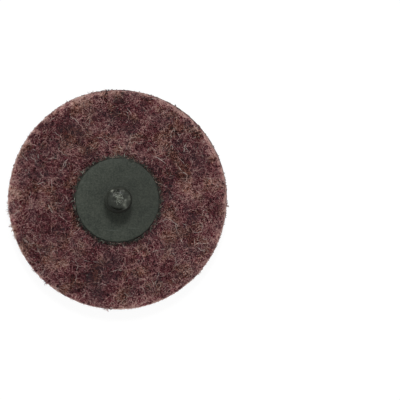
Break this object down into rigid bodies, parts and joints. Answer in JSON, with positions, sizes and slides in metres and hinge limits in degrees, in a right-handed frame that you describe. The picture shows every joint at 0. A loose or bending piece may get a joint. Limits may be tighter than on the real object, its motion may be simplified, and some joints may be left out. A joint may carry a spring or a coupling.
{
  "type": "surface conditioning disc",
  "caption": "Round needled nylon abrasive pad with a moulded nylon button welded to its back, whose coarse-threaded stub post twists into a backing pad.",
  "frame": {"origin": "middle of the abrasive face, on the ground plane", "axes": "+Z along the post, out of the disc's back; X and Y in the plane of the abrasive face"},
  "size_m": [0.0508, 0.0508, 0.0131],
  "materials": {
    "needled_web": "maroon needled nylon web, resin bonded, brown with resin and grit on the abrasive face",
    "green_nylon": "dark grey-green moulded nylon, fine satin"
  },
  "bodies": {
    "root": {"abrasive_pad": "needled_web", "twist_button": "green_nylon"}
  },
  "joints": []
}
